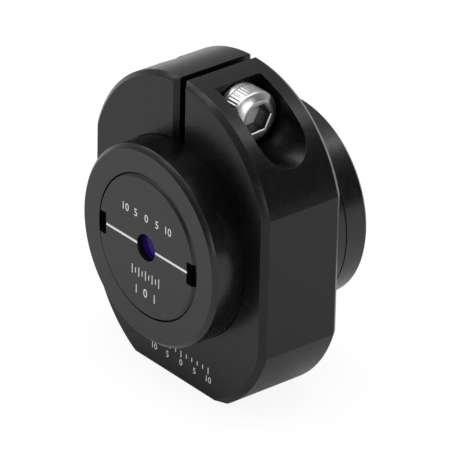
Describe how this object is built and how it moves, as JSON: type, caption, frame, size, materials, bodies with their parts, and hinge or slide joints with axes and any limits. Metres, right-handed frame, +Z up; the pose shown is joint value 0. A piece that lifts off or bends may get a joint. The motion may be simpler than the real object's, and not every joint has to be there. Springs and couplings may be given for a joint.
{
  "type": "optical isolator",
  "caption": "Black free-space Faraday optical isolator: a round barrel with slotted polarizer cells at both ends, held in a split clamp ring with a socket-head screw and a flat base.",
  "frame": {"origin": "mouth of the threaded post hole, in the middle of the clamp ring's flat base", "axes": "+Y along the optical axis, from the input face to the output face; +Z up from the base through the optical axis; +X to the right when the input face is looked at, towards the clamp screw's head"},
  "size_m": [0.0284, 0.021, 0.0345],
  "materials": {
    "anodised_aluminium": "machined and black anodised, fine matt",
    "screw_steel": "bright stainless steel, knurled head",
    "plated_magnet": "nickel plated sintered magnet",
    "brass": "turned, uncoated",
    "polarizer_glass": "polished, with a violet antireflection coating",
    "crystal_garnet": "polished and coated ends, fine ground side"
  },
  "bodies": {
    "clamp": {"clamp_ring": "anodised_aluminium"},
    "screw": {"clamp_screw": "screw_steel"},
    "barrel": {"magnet_housing": "anodised_aluminium", "output_end_cap": "anodised_aluminium", "input_magnet": "plated_magnet", "input_magnet_spacer": "brass", "centre_magnet": "plated_magnet", "output_magnet_spacer": "brass", "output_magnet": "plated_magnet", "magnet_retaining_ring": "brass", "crystal_sleeve": "brass", "faraday_crystal": "crystal_garnet", "input_crystal_stop": "brass", "output_crystal_stop": "brass", "input_polarizer_cell": "anodised_aluminium", "input_polarizer": "polarizer_glass", "input_polarizer_retainer": "anodised_aluminium", "output_polarizer_cell": "anodised_aluminium", "output_polarizer": "polarizer_glass", "output_polarizer_retainer": "anodised_aluminium"}
  },
  "joints": [
    {"name": "barrel_turn", "type": "hinge", "parent": "clamp", "child": "barrel", "pos_m": [0, 0, 0.0165], "axis": [0, 1, 0], "continuous": true},
    {"name": "screw_turn", "type": "hinge", "parent": "clamp", "child": "screw", "pos_m": [0, 0, 0.0312], "axis": [1, 0, 0], "range_deg": [0, 450]}
  ]
}
